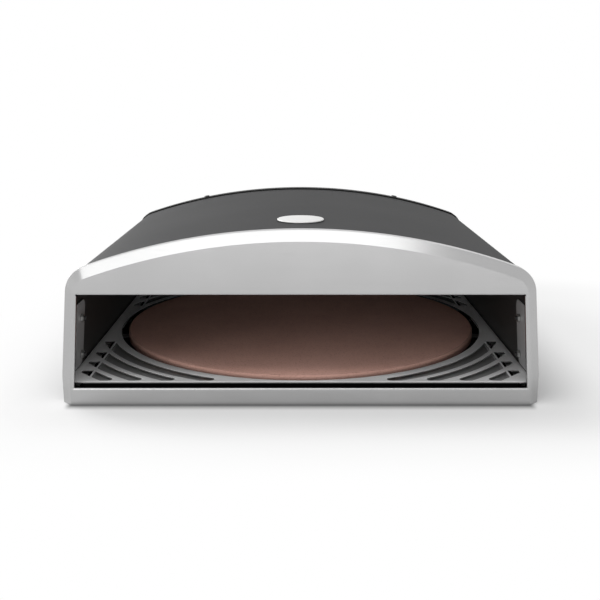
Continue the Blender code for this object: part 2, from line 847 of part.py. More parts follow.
def build_brackets():
    rear_end = face_y + bracket_length
    offset = fascia_sheet + clearance
    outer = frame_solid(bracket_inset, offset, bracket_front, rear_end + cut_overrun, -cut_overrun)
    inner = frame_solid(bracket_inset + bracket_sheet, offset + bracket_sheet,
                        bracket_front - clearance, rear_end + cut_overrun * 2, -cut_overrun * 2)
    shell = solid_between(outer, inner, 'DIFFERENCE', "bracket_shell")
    low = plate_top + bracket_lift
    middle = ((face_y + rear_end) / 2, (low + bracket_top) / 2)
    patch = rounded_rectangle(bracket_length / 2, (bracket_top - low) / 2, bracket_corner, middle)
    for side, name in ((-1, "left"), (1, "right")):
        ends = sorted((side * half_width / 2, side * (half_width + cut_overrun)))
        block = side_solid([patch], *ends)
        piece = solid_between(shell.copy(), block, 'INTERSECT', "bracket_" + name + "_body")
        bracket = add_part("fascia_bracket_" + name, piece, (0.55, 0.55, 0.55), 0.35, 1.0)
        fixings = bracket_fixings(side)
        drilled(bracket, holes(fixings, screw_hole, screw_length))
        screws = [screw_solid(place, axis, hood_sheet + bracket_sheet + nut_height + clearance * 4)
                  for place, axis in fixings]
        add_set("bracket_screw_" + name, screws, (0.12, 0.12, 0.12), 0.4, 1.0)
        nuts = [nut_solid(place, axis) for place, axis in fixings]
        add_set("bracket_nut_" + name, nuts, (0.6, 0.6, 0.6), 0.3, 1.0)


def nut_solid(place, axis):
    """Hexagon nut on the inner face of a bracket, clear of its screw."""
    corner = nut_across_flats / math.sqrt(3)
    seat = -(hood_sheet + bracket_sheet + clearance * 2)
    body = pin(corner, place, axis, seat - nut_height, seat, hexagon)
    bore = pin(screw_hole, place, axis, seat - nut_height * 2, 0)
    return solid_between(body, bore, 'DIFFERENCE', "nut")


def badge_studs():
    y = face_y + badge_from_face
    return [(-stud_spacing / 2, y), (stud_spacing / 2, y)]


def build_badge():
    y = face_y + badge_from_face
    seat = body_height - hood_inset + clearance
    edge = badge_thickness - badge_crown
    profile = [(badge_radius, 0), (badge_radius, edge * badge_rim_share)]
    profile += [(badge_radius * across, edge + badge_crown * rise) for across, rise in badge_dome_shares]
    disc = turned(profile, (0, y, seat), (0, 0, 1), badge_segments)
    badge = add_part("badge_disc", disc, (0.75, 0.75, 0.74), 0.25, 1.0)
    studs = [pin(stud_radius, (x, place, seat), (0, 0, 1), -stud_length, stud_grip)
             for x, place in badge_studs()]
    combine(badge, joined(studs, "studs"), 'UNION', "studs")
    nuts = []
    for x, place in badge_studs():
        under = roof_place(abs(x) + push_nut_radius, place, hood_inner_inset)[0].z - clearance
        body = pin(push_nut_radius, (x, place, under), (0, 0, 1), -push_nut_thickness, 0)
        bore = pin(stud_radius + clearance, (x, place, under), (0, 0, 1), -stud_length, stud_length)
        nuts.append(solid_between(body, bore, 'DIFFERENCE', "push_nut"))
    add_set("badge_push_nut", nuts, (0.5, 0.5, 0.5), 0.35, 1.0)


def build_fasteners():
    for side, name in ((-1, "left"), (1, "right")):
        screws = [screw_solid(place, axis) for place, axis in skirt_fixings(side)]
        add_set("hood_screw_" + name, screws, (0.12, 0.12, 0.12), 0.4, 1.0)
    screws = [screw_solid(place, axis) for place, axis in flange_fixings()]
    add_set("rear_flange_screw", screws, (0.12, 0.12, 0.12), 0.4, 1.0)
    screws = [screw_solid(place, axis) for place, axis in rear_fixings()]
    add_set("rear_skirt_screw", screws, (0.12, 0.12, 0.12), 0.4, 1.0)
    under = -rail_sheet - clearance
    bolts = []
    for x, y in plate_bolts_at():
        head = pin(bolt_head_radius, (x, y, ledge_height + under), (0, 0, 1), -bolt_head_height, 0, hexagon)
        shank = pin(bolt_radius, (x, y, ledge_height), (0, 0, 1), under - bolt_head_height / 2,
                    clearance + bolt_grip)
        bolts.append(solid_between(head, shank, 'UNION', "bolt"))
    add_set("plate_bolt", bolts, (0.45, 0.45, 0.45), 0.4, 1.0)


build_fascia()
build_hood()
build_rear_panel()
build_rails()
build_gussets()
build_plate()
build_baffles()
build_stone()
build_brackets()
build_badge()
build_fasteners()
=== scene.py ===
"""Looks of the grill-top pizza oven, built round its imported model.

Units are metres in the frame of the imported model: +Z up, -Y out of the mouth.
"""
import math

import bmesh
import bpy
from mathutils import Matrix, Vector


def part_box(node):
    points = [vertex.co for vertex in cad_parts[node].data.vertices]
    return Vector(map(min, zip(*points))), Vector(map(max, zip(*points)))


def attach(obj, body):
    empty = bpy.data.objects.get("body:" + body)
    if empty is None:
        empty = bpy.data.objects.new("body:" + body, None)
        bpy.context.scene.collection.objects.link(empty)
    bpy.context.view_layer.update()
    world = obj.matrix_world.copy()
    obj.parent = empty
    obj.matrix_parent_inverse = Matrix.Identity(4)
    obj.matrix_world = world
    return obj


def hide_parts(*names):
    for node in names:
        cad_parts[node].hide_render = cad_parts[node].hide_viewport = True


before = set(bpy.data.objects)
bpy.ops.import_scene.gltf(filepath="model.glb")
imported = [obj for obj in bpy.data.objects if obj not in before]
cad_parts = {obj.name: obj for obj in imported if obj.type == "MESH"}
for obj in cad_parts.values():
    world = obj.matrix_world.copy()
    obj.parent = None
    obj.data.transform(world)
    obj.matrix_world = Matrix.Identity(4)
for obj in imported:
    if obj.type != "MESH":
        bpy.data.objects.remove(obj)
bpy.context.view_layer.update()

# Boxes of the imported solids
hood_low, hood_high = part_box("hood_shell")
fascia_low, fascia_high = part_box("front_fascia")
plate_low, plate_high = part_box("heat_plate")
stone_low, stone_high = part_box("pizza_stone")
rear_low, rear_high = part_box("rear_panel")
badge_low, badge_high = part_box("badge_disc")
baffle_low, baffle_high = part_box("slot_baffle_front_right")

# Body: its outline, the gap between fastened sheets and the spare length of a cutter
half_width = fascia_high.x
face_y = fascia_low.y
body_height = fascia_high.z
rear_y = rear_high.y
knee_height = 0.0229
arch_radius = 0.529
corner_radius = 0.0235
side_lean = math.radians(5.5)
roof_length = 0.326
arch_z = body_height - arch_radius
rear_lean = math.atan2(rear_y - face_y - roof_length, body_height - knee_height)
gap = 0.0003
over = 0.004
sheet_edge = 0.0003
sides = ((-1, "left"), (1, "right"))

# Front frame
fascia_sheet = 0.0012
frame_edge = 0.00035
chamfer = 0.0082
fascia_end_y = fascia_high.y
mouth_bottom = 0.0151
mouth_top = 0.0947
mouth_bottom_width = 0.3768
mouth_top_width = 0.3634
mouth_round = 0.0013
hem_width = 0.0020
hem_depth = 0.0026
relief_radius = 0.0009
relief_inset = relief_radius * 0.2
groove_inset = 0.0048
groove_width = 0.0008
groove_depth = 0.0003
groove_foot = 0.1036
crease_height = 0.0012
crease_width = 0.012

# Hood and rear panel, and what counts as their inner faces
hood_sheet = 0.0012
hood_inset = half_width - hood_high.x
rear_sheet = 0.0012
rear_flange = 0.010
rear_start_y = face_y + roof_length - rear_flange * 3
inward_share = 0.3
room_height = 0.03
inside_sheets = 1.5

# Inner brackets; a screw's place is its distance behind the face and its height
bracket_sheet = 0.0015
bracket_top = 0.0786
bracket_length = 0.060
bracket_lift = 0.0008
bracket_front = 0.0029
bracket_corner = 0.009
bracket_screw_places = ((0.047, 0.0636), (0.052, 0.0290))

# Plate and baffles; the slots are shares of the plate's half width, in a round
# pattern that is stretched to the plate's depth
plate_top = plate_high.z
plate_bottom = plate_low.z
plate_sheet = 0.0010
plate_foot = 0.0076
plate_fold_start = 0.012
sheet_bottom = plate_top - plate_sheet
plate_y = (plate_low.y + plate_high.y) / 2
plate_half_depth = (plate_high.y - plate_low.y) / 2
plate_half_width = plate_high.x
plate_corner = 0.010
plate_edge = 0.0004
plate_flat_share = 0.95
pattern_depth_share = 0.96862
pattern_stretch = (plate_half_width, plate_half_depth / pattern_depth_share)
slot_inner_shares = (0.9898, 1.0681, 1.1480, 1.2290)
slot_width_share = 0.0510
rib_inner_share = 0.9092
rib_outer_share = 0.9214
slot_front_share = 0.9464
slot_round_share = 0.0180
tail_end_share = 0.9694
lug_width = 0.012
lug_reach = 0.013
lug_angles = (math.radians(-8.0), math.radians(-60.0), math.radians(60.0))
baffle_sheet = 0.0012
baffle_fold_edge = 0.0002
baffle_ring_share = 0.961
baffle_edge_share = 0.917
baffle_end_shares = (0.33, 0.915)

# Stone, in the plate's round opening
stone_radius = stone_high.x
stone_edge = 0.0018
stone_flat_share = 0.98
stone_ring_shares = (0.9, 0.7, 0.5, 0.3, 0.1)
stone_gap = 0.007
opening_radius = stone_radius + stone_gap

# Screws and nuts
screw_length = 0.0075
screw_shank_radius = 0.0017
screw_head_radius = 0.0032
screw_head_height = 0.0012
crown_height = 0.0008
crown_inset = 0.00108
crown_end = math.radians(80)
recess_length = screw_head_radius * 1.1
recess_width = 0.0007
recess_height = 0.0012
nut_across_flats = 0.0060
nut_height = 0.0024
nut_bore_radius = 0.0020
nut_edge = 0.0001
nut_dome_share = 1.02
nut_inner_round = (0.88, 0.0004)
nut_outer_round = (0.92, 0.0003)
flange_screw_shares = (0.6, 0.95)
roof_screw_place = 0.110
side_screw_reach = 0.65 * plate_half_depth
side_screw_places = (-side_screw_reach, 0.0, side_screw_reach)
rear_screw_places = (-0.140, 0.0, 0.140)
skirt_screw_height = 0.0056

# Badge: its rounded rim and its dome, as (share of the radius, height)
badge_y = (badge_low.y + badge_high.y) / 2
badge_radius = badge_high.x
badge_thickness = 0.0018
badge_seat = badge_high.z - badge_thickness
badge_foot_inset = 0.0004
badge_foot_height = 0.0003
badge_rim_width = 0.0010
badge_rim_height = 0.0006
badge_dome = ((0.92, 0.0011), (0.88, 0.00125), (0.6, 0.0016), (0.3, 0.00175),
              (0.05, badge_thickness))

# Segments of round outlines, and how close the points are that merge
arch_segments = 96
corner_segments = 14
slot_segments = 28
slot_end_segments = 12
rectangle_segments = 10
round_segments = 256
stone_edge_segments = 8
mouth_round_segments = 4
relief_segments = 20
small_round_segments = 6
screw_segments = 28
nut_segments = 36
bore_segments = 24
badge_segments = 96
floor_segments = 96
bevel_segments = 2
merge_distance = 0.000002

# Floor: its size, the tones of its matt parts, and the distances at which its looks
# change. The camera sees a painted contact shadow at the foot, then matt, then white;
# the light meets painted shade at the foot, then pale, with painted shade to the right and rear,
# then a glow
floor_radius = 8.0
floor_drop = 0.0002
contact_shadow_tone = 0.06
seen_tone = 0.74
foot_shade_tone = 0.55
lit_tone = 0.86
dim_tone = 0.43
floor_contact_shadow = (-0.003, 0.014)
floor_clear = (0.005, 0.09)
floor_clear_share = 0.6
floor_tail = (0.04, 0.15)
floor_foot_shade = (0, 0.02)
floor_dim = (0.1, 0.2)
floor_fade = (0.45, 1.6)
foot_stretch = (2, 1, 0)
tail_stretch = (0.5, 1, 0)
dim_direction = (0.9, 0.45, 0)

# Strengths of the glow towards +X, +Y and +Z, and towards -X, -Y and -Z
floor_glow = ((0.348, 0, 0), (0.797, 0.407, 0))
room_light = ((0.256, 0, 0.915), (0.936, 0.981, 0))

# Lamps: name, place, target, width, height and power
oven_middle = (0, 0, 0.05)
lamps = (("overhead", (-0.45, -0.6, 1.5), (-0.45, -0.6, 0), 2.1, 0.8, 8.6),
         ("low", (0.25, -2.2, 0.25), oven_middle, 3.0, 0.4, 13.5),
         ("left_rear", (-1.5, 1.15, 0.45), oven_middle, 1.2, 0.8, 33.8),
         ("left_front", (-1.5, -1.4, 0.5), oven_middle, 1.0, 0.8, 7.5))

# Camera: its place from the oven's face and the plate's top, its pitch in degrees
# and its lens and sensor in millimetres
camera_side = -0.0005
camera_distance = 0.6554
camera_rise = 0.2344
camera_pitch = 13.9
camera_lens = 50.0
camera_sensor = 36.0

scene = bpy.context.scene
scene.view_settings.view_transform = 'Standard'


# Materials

cloud_detail = 3
grain_detail = 2
stone_detail = 5


def new_material(name):
    """Principled material: the node tree, its shader and a shared coordinate."""
    made = bpy.data.materials.new(name)
    made.use_nodes = True
    tree = made.node_tree
    shader = tree.nodes["Principled BSDF"]
    coordinate = tree.nodes.new("ShaderNodeTexCoord")
    return made, tree, shader, coordinate.outputs["Object"]


def noise(tree, vector, scale, detail, stretch=(1, 1, 1), roughness=0.55):
    """Factor of a noise whose coordinate is stretched along the axes."""
    mapping = tree.nodes.new("ShaderNodeMapping")
    mapping.inputs["Scale"].default_value = stretch
    tree.links.new(vector, mapping.inputs["Vector"])
    texture = tree.nodes.new("ShaderNodeTexNoise")
    texture.inputs["Scale"].default_value = scale
    texture.inputs["Detail"].default_value = detail
    texture.inputs["Roughness"].default_value = roughness
    tree.links.new(mapping.outputs["Vector"], texture.inputs["Vector"])
    return texture.outputs["Fac"]


def ramp(tree, factor, stops):
    """Colour ramp through (position, colour) stops."""
    node = tree.nodes.new("ShaderNodeValToRGB")
    elements = node.color_ramp.elements
    while len(elements) < len(stops):
        elements.new(0.5)
    for element, (position, colour) in zip(elements, stops):
        element.position = position
        element.color = (*colour, 1)
    tree.links.new(factor, node.inputs["Fac"])
    return node.outputs["Color"]


def spread(tree, factor, low, high):
    """A 0 to 1 factor spread from low to high."""
    node = tree.nodes.new("ShaderNodeMapRange")
    node.inputs["To Min"].default_value = low
    node.inputs["To Max"].default_value = high
    tree.links.new(factor, node.inputs["Value"])
    return node.outputs["Result"]


def bump(tree, shader, height, strength, distance):
    """Relief of a shader's surface."""
    node = tree.nodes.new("ShaderNodeBump")
    node.inputs["Strength"].default_value = strength
    node.inputs["Distance"].default_value = distance
    tree.links.new(height, node.inputs["Height"])
    tree.links.new(node.outputs["Normal"], shader.inputs["Normal"])


def shade(colour, share):
    return tuple(channel * share for channel in colour)


def clouded(tree, shader, vector, colour, scale, stops):
    """Base colour that wanders softly through (position, share of the colour) stops."""
    cloud = noise(tree, vector, scale, cloud_detail)
    tones = [(position, shade(colour, share)) for position, share in stops]
    tree.links.new(ramp(tree, cloud, tones), shader.inputs["Base Color"])


def grained(tree, shader, grain, rough, spare, strength, depth):
    """Roughness, give or take a spare part, and relief that follow one grain."""
    finish = spread(tree, grain, rough - spare, rough + spare)
    tree.links.new(finish, shader.inputs["Roughness"])
    bump(tree, shader, grain, strength, depth)


def brushed(name, colour, rough, stretch):
    """Metal with fine lines, closest together along the axis that is stretched most."""
    made, tree, shader, vector = new_material(name)
    shader.inputs["Metallic"].default_value = 1.0
    lines = noise(tree, vector, 6.0, cloud_detail, stretch, roughness=0.7)
    clouded(tree, shader, vector, colour, scale=14.0, stops=((0.25, 0.95), (0.75, 1.04)))
    grained(tree, shader, lines, rough, spare=0.05, strength=0.25, depth=0.00003)
    return made


def painted(name, colour, rough, gloss=0.5):
    """Satin high-heat paint with a fine orange-peel grain."""
    made, tree, shader, vector = new_material(name)
    shader.inputs["Specular IOR Level"].default_value = gloss
    clouded(tree, shader, vector, colour, scale=9.0, stops=((0.3, 0.93), (0.7, 1.06)))
    grain = noise(tree, vector, 900.0, grain_detail)
    grained(tree, shader, grain, rough, spare=0.06, strength=0.12, depth=0.0001)
    return made


def satin(name, colour, rough, metallic=0.3):
    """Plain coated sheet steel with a soft, fine grain."""
    made, tree, shader, vector = new_material(name)
    shader.inputs["Metallic"].default_value = metallic
    clouded(tree, shader, vector, colour, scale=18.0, stops=((0.3, 0.96), (0.7, 1.04)))
    grain = noise(tree, vector, 800.0, grain_detail)
    grained(tree, shader, grain, rough, spare=0.05, strength=0.1, depth=0.00005)
    return made


def fired_stone(name, share=1.0):
    """Reddish-brown fired stone: soft mottling, fine speckle, open grain."""
    made, tree, shader, vector = new_material(name)
    mottling = [(0.25, (0.595, 0.347, 0.284)), (0.5, (0.64, 0.374, 0.306)),
                (0.8, (0.68, 0.402, 0.334))]
    speckles = [(0.36, (0.62, 0.58, 0.55)), (0.44, (1, 1, 1)),
                (0.66, (1, 1, 1)), (0.74, (1.18, 1.14, 1.1))]
    body = ramp(tree, noise(tree, vector, 22.0, stone_detail),
                [(position, shade(tone, share)) for position, tone in mottling])
    spots = ramp(tree, noise(tree, vector, 850.0, grain_detail), speckles)
    mixed = tree.nodes.new("ShaderNodeMix")
    mixed.data_type = 'RGBA'
    mixed.blend_type = 'MULTIPLY'
    mixed.inputs["Factor"].default_value = 0.55
    tree.links.new(body, mixed.inputs["A"])
    tree.links.new(spots, mixed.inputs["B"])
    tree.links.new(mixed.outputs["Result"], shader.inputs["Base Color"])
    shader.inputs["Roughness"].default_value = 0.85
    shader.inputs["Specular IOR Level"].default_value = 0.25
    grain = noise(tree, vector, 420.0, stone_detail, roughness=0.7)
    bump(tree, shader, grain, strength=0.35, distance=0.0003)
    return made


steel = brushed("fascia_steel_look", (0.425, 0.425, 0.425), 0.24, (1.5, 1.5, 190))
bracket_steel = satin("bracket_steel_look", (0.36, 0.36, 0.36), 0.45)
charcoal = painted("hood_paint_look", (0.05, 0.05, 0.051), 0.55, gloss=0.03)
# Inner faces of hood and rear panel: black paint, darkened further as painted shade for the
# oven's dim room
inside_paint_and_shade = painted("hood_inside_paint_and_shade_look", (0.022, 0.021, 0.020), 0.5)
# Painted shade: the rear panel gets a darker copy of the hood's paint, so its rim reads as a
# dark line
rear_shade_paint = painted("rear_shade_paint_look", (0.02, 0.02, 0.02), 0.5, gloss=0.1)
plate_look = satin("plate_steel_look", (0.83, 0.83, 0.83), 0.5)
# Painted shade: a darker copy of the plate's steel for its cut edges, folds and lugs
plate_edge_shade = satin("plate_edge_shade_look", (0.13, 0.13, 0.13), 0.5)
baffle_look = satin("baffle_steel_look", (0.30, 0.30, 0.30), 0.55)
stone_look = fired_stone("stone_look")
# Painted shade: the stone's side and rounded edge get a darker copy of its colour
stone_rim_shade = fired_stone("stone_rim_shade_look", 0.65)
# Base rails and gussets: black high-heat paint, made near-black as painted shade for the dark
# gap under the plate
rail_paint_and_shade = painted("rail_paint_and_shade_look", (0.004, 0.004, 0.004), 0.7, gloss=0.15)
# Painted shade: near-black for the front rail's lip, so the gap under the plate's front edge
# reads dark
rail_void_shade = painted("rail_void_shade_look", (0.0008, 0.0008, 0.0008), 0.9, gloss=0.02)
bright = brushed("bright_nut_look", (0.50, 0.50, 0.49), 0.32, (60, 60, 60))
black_screw = painted("black_screw_look", (0.03, 0.03, 0.03), 0.35)
plain_bolt = brushed("bolt_look", (0.50, 0.50, 0.49), 0.4, (80, 80, 80))
badge_metal = satin("badge_look", (0.69, 0.69, 0.68), 0.45, metallic=0.0)


# Mesh tools

across_front = Matrix(((1, 0, 0, 0), (0, 0, -1, 0), (0, 1, 0, 0), (0, 0, 0, 1)))
across_side = Matrix(((0, 0, 1, 0), (1, 0, 0, 0), (0, 1, 0, 0), (0, 0, 0, 1)))
across_top = Matrix.Identity(4)
holders = bpy.data.collections.new("helpers")
scene.collection.children.link(holders)


def evaluated(item):
    """Mesh of an object with its modifiers applied."""
    graph = bpy.context.evaluated_depsgraph_get()
    return bpy.data.meshes.new_from_object(item.evaluated_get(graph))


def finish_mesh(shape, name):
    """Mesh of a bmesh, which is freed."""
    mesh = bpy.data.meshes.new(name)
    shape.to_mesh(mesh)
    shape.free()
    return mesh


def extruded(loops, start, end, placing, axis, edge):
    """Closed solid of flat loops from start to end on one axis, edges rounded."""
    curve = bpy.data.curves.new("outline", 'CURVE')
    curve.dimensions = '2D'
    curve.fill_mode = 'BOTH'
    curve.extrude = (end - start) / 2 - edge
    curve.bevel_depth = edge
    curve.bevel_resolution = bevel_segments
    curve.offset = -edge
    for loop in loops:
        spline = curve.splines.new('POLY')
        spline.points.add(len(loop) - 1)
        for point, (x, y) in zip(spline.points, loop):
            point.co = (x, y, 0, 1)
        spline.use_cyclic_u = True
    holder = bpy.data.objects.new("outline", curve)
    holders.objects.link(holder)
    bpy.context.view_layer.update()
    mesh = evaluated(holder)
    bpy.data.objects.remove(holder, do_unlink=True)
    middle = Vector((0, 0, 0))
    middle[axis] = (start + end) / 2
    shape = bmesh.new()
    shape.from_mesh(mesh)
    bmesh.ops.remove_doubles(shape, verts=shape.verts, dist=merge_distance)
    shape.transform(Matrix.Translation(middle) @ placing)
    bmesh.ops.recalc_face_normals(shape, faces=shape.faces)
    if shape.calc_volume(signed=True) < 0:
        bmesh.ops.reverse_faces(shape, faces=shape.faces)
    shape.to_mesh(mesh)
    shape.free()
    mesh.materials.clear()
    return mesh


def front_solid(loops, start, end, edge=0.0):
    """Solid of (x, z) loops between two places on Y."""
    return extruded(loops, start, end, across_front, 1, edge)


def side_solid(loops, start, end):
    """Solid of (y, z) loops between two places on X."""
    return extruded(loops, start, end, across_side, 0, 0.0)


def top_solid(loops, start, end, edge):
    """Solid of (x, y) loops between two heights."""
    return extruded(loops, start, end, across_top, 2, edge)


def joined(meshes):
    """One mesh of several, left as they are."""
    shape = bmesh.new()
    for mesh in meshes:
        shape.from_mesh(mesh)
    return finish_mesh(shape, "joined")


def combined(mesh, *steps):
    """Mesh after a row of exact Booleans, each (operation, other mesh)."""
    holder = bpy.data.objects.new("work", mesh)
    holders.objects.link(holder)
    tools = []
    for operation, other in steps:
        tool = bpy.data.objects.new("tool", other)
        holders.objects.link(tool)
        tools.append(tool)
        change = holder.modifiers.new("cut", 'BOOLEAN')
        change.operation = operation
        change.object = tool
    bpy.context.view_layer.update()
    result = evaluated(holder)
    for item in [holder] + tools:
        bpy.data.objects.remove(item, do_unlink=True)
    return result


def stood_up(place, axis):
    """Matrix that stands a mesh with +Z along an axis at a place."""
    turn = Vector(axis).to_track_quat('Z', 'Y').to_matrix().to_4x4()
    return Matrix.Translation(place) @ turn


def angles(end, segments):
    """Angles from 0 to an end in equal steps."""
    return [end * step / segments for step in range(segments + 1)]


def turned(profile, segments):
    """A profile of (radius, height), foot to top, turned round +Z."""
    outline = bpy.data.meshes.new("profile")
    around = [(0, profile[-1][1])] + list(reversed(profile)) + [(0, profile[0][1])]
    outline.from_pydata([(radius, 0, height) for radius, height in around],
                        [(step, step + 1) for step in range(len(around) - 1)], [])
    holder = bpy.data.objects.new("profile", outline)
    holders.objects.link(holder)
    screw = holder.modifiers.new("turn", 'SCREW')
    screw.steps = segments
    screw.render_steps = segments
    screw.use_merge_vertices = True
    screw.merge_threshold = merge_distance
    bpy.context.view_layer.update()
    mesh = evaluated(holder)
    bpy.data.objects.remove(holder, do_unlink=True)
    return mesh


def pin(radius, back, forward, segments):
    """Round or many-sided pin along +Z, from back to forward."""
    shape = bmesh.new()
    middle = Matrix.Translation((0, 0, (back + forward) / 2))
    bmesh.ops.create_cone(shape, cap_ends=True, segments=segments, radius1=radius,
                          radius2=radius, depth=forward - back, matrix=middle)
    return finish_mesh(shape, "pin")


def add_piece(name, mesh, material, nodes, body="oven", edge=0.0, angle=30, matrix=None):
    """A shown piece that stands for CAD nodes and rides on their body."""
    piece = bpy.data.objects.new(name, mesh)
    scene.collection.objects.link(piece)
    if matrix is not None:
        piece.matrix_world = matrix
    if not mesh.materials:
        mesh.materials.append(material)
    mesh.shade_smooth()
    mesh.set_sharp_from_angle(angle=math.radians(angle))
    if edge:
        bevel = piece.modifiers.new("edge", 'BEVEL')
        bevel.width = edge
        bevel.segments = bevel_segments
        bevel.limit_method = 'ANGLE'
        bevel.angle_limit = math.radians(angle)
        bevel.harden_normals = True
    bpy.context.view_layer.update()
    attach(piece, body)
    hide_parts(*nodes)
    return piece


def split_faces(mesh, first, second, is_second):
    """Gives some faces of a mesh the second material."""
    mesh.materials.clear()
    mesh.materials.append(first)
    mesh.materials.append(second)
    for face in mesh.polygons:
        face.material_index = 1 if is_second(face.center, face.normal) else 0


# The body's section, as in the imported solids

def lean_knee(half, lean, inset):
    """Where a wall's inset face starts to lean: distance from the middle, height."""
    rise = inset * (1 - math.cos(lean)) / math.sin(lean)
    return half - inset, knee_height - inset * math.sin(lean) + rise * math.cos(lean)


def lean_across(half, lean, inset, height):
    """Distance from the middle of a leaning wall's inset face at a height."""
    knee, knee_z = lean_knee(half, lean, inset)
    return knee - max(height - knee_z, 0) * math.tan(lean)


def corner_centre():
    """Middle of the round between the right wall and the arch, as (x, z)."""
    start = Vector((half_width - corner_radius * math.cos(side_lean),
                    knee_height - corner_radius * math.sin(side_lean)))
    along = Vector((-math.sin(side_lean), math.cos(side_lean)))
    offset = start - Vector((0, arch_z))
    reach = arch_radius - corner_radius
    middle = offset.dot(along)
    travel = -middle + math.sqrt(middle ** 2 - offset.length_squared + reach ** 2)
    return start + along * travel


def body_outline(inset, bottom):
    """Right foot, up, over the arch and down to the left foot, as (x, z)."""
    centre = corner_centre()
    roof_angle = math.atan2(centre.y - arch_z, centre.x)
    radius = corner_radius - inset
    right = [(half_width - inset, bottom), lean_knee(half_width, side_lean, inset)]
    for step in range(corner_segments + 1):
        angle = side_lean + (roof_angle - side_lean) * step / corner_segments
        right.append((centre.x + radius * math.cos(angle), centre.y + radius * math.sin(angle)))
    roof = []
    for step in range(1, arch_segments):
        angle = roof_angle + (math.pi - 2 * roof_angle) * step / arch_segments
        roof.append(((arch_radius - inset) * math.cos(angle),
                     arch_z + (arch_radius - inset) * math.sin(angle)))
    return right + roof + [(-x, z) for x, z in reversed(right)]


def loft(sections):
    """Solid through closed outlines of equal count, given as (y, outline)."""
    shape = bmesh.new()
    rings = [[shape.verts.new((x, y, z)) for x, z in outline] for y, outline in sections]
    for first, second in zip(rings, rings[1:]):
        for step, one in enumerate(first):
            after = (step + 1) % len(first)
            shape.faces.new((one, first[after], second[after], second[step]))
    shape.faces.new(rings[0])
    shape.faces.new(rings[-1])
    bmesh.ops.recalc_face_normals(shape, faces=shape.faces)
    return finish_mesh(shape, "loft")


def frame_solid(side_inset, offset, front, rear_end, bottom):
    """The chamfered front body, shrunk: front is its depth behind the face."""
    slope_sum = chamfer + offset * math.sqrt(2)
    return loft([
        (rear_end, body_outline(side_inset, bottom)),
        (face_y + slope_sum - side_inset, body_outline(side_inset, bottom)),
        (face_y + front, body_outline(slope_sum - front, bottom)),
    ])


def rear_line(inset, bottom, top):
    """The rear surface, inset forward, as (y, z) from its foot to its top."""
    tip = lean_across(rear_y, rear_lean, inset, top)
    return [(rear_y - inset, bottom), lean_knee(rear_y, rear_lean, inset), (tip, top)]


def mouth_outline(grow):
    """The oven's mouth, widening downwards, grown alike on all sides."""
    low = mouth_bottom - grow
    high = mouth_top + grow
    slope = (mouth_bottom_width - mouth_top_width) / 2 / (mouth_top - mouth_bottom)
    spare = grow * math.sqrt(1 + slope ** 2)
    low_half = mouth_bottom_width / 2 + spare + grow * slope
    high_half = mouth_top_width / 2 + spare - grow * slope
    return [(low_half, low), (high_half, high), (-high_half, high), (-low_half, low)]


# Places of the fixings, each with its outward axis

def side_place(side, y, height, inset=0.0):
    x = lean_across(half_width, side_lean, inset, height)
    axis = Vector((side * math.cos(side_lean), 0, math.sin(side_lean)))
    return Vector((side * x, y, height)), axis


def roof_place(x, y):
    z = arch_z + math.sqrt(arch_radius ** 2 - x ** 2)
    return Vector((x, y, z)), Vector((x, 0, z - arch_z)).normalized()


def flange_fixings():
    found = []
    for side in (-1, 1):
        for share in flange_screw_shares:
            height = corner_centre().y * share
            y = lean_across(rear_y, rear_lean, rear_flange / 2, height)
            found.append(side_place(side, y, height))
        x = side * roof_screw_place
        y = lean_across(rear_y, rear_lean, rear_flange / 2, roof_place(x, 0)[0].z)
        found.append(roof_place(x, y))
    return found


def skirt_fixings(side):
    x = side * (half_width - hood_inset)
    return [(Vector((x, y, skirt_screw_height)), Vector((side, 0, 0)))
            for y in side_screw_places]


def rear_fixings():
    return [(Vector((x, rear_y, skirt_screw_height)), Vector((0, 1, 0)))
            for x in rear_screw_places]


def bracket_fixings(side):
    return [side_place(side, face_y + back, height, hood_inset)
            for back, height in bracket_screw_places]


# Front frame

def groove_solid():
    """Shallow line in the face, inside the arch's chamfer and down its corners."""
    outer = chamfer + groove_inset
    line = [point for point in body_outline(outer, 0) if point[1] > groove_foot]
    back = [point for point in body_outline(outer + groove_width, 0) if point[1] > groove_foot]
    return front_solid([line + back[::-1]], face_y - over, face_y + groove_depth)


def mouth_solid():
    """Cutter of the mouth, flared so that it leaves a rounded front edge."""
    sections = [(face_y - over, mouth_outline(mouth_round))]
    for angle in angles(math.pi / 2, mouth_round_segments):
        sections.append((face_y + mouth_round * (1 - math.cos(angle)),
                         mouth_outline(mouth_round * (1 - math.sin(angle)))))
    sections.append((face_y + hem_depth + over, mouth_outline(0)))
    return loft(sections)


def relief_solid():
    """Cutters of the small round reliefs in the mouth's upper corners."""
    half, high = mouth_outline(0)[1]
    reliefs = []
    for side in (-1, 1):
        relief = pin(relief_radius, -over, over, relief_segments)
        place = (side * (half - relief_inset), face_y, high - relief_inset)
        relief.transform(Matrix.Translation(place) @ across_front)
        reliefs.append(relief)
    return joined(reliefs)


def sharpen_creases(mesh):
    """Keeps the bend at the knee of each post a sharp line."""
    for edge in mesh.edges:
        ends = [mesh.vertices[index].co for index in edge.vertices]
        if all(abs(end.z - knee_height) < crease_height
               and abs(end.x) > half_width - crease_width for end in ends):
            edge.use_edge_sharp = True


def build_fascia():
    outer = frame_solid(0, 0, 0, fascia_end_y, 0)
    inner = frame_solid(fascia_sheet, fascia_sheet, fascia_sheet, fascia_end_y + over,
                        fascia_sheet)
    hem = front_solid([mouth_outline(hem_width)], face_y, face_y + hem_depth)
    mesh = combined(outer, ('DIFFERENCE', inner), ('UNION', hem), ('DIFFERENCE', mouth_solid()),
                    ('DIFFERENCE', relief_solid()), ('DIFFERENCE', groove_solid()))
    add_piece("front_frame", mesh, steel, ["front_fascia"], edge=frame_edge)
    sharpen_creases(mesh)


# Hood and rear panel

def hood_is_inside(centre, normal):
    """Faces that look towards the oven's room."""
    inward = Vector((0, centre.y, room_height)) - centre
    return normal.dot(inward.normalized()) > inward_share


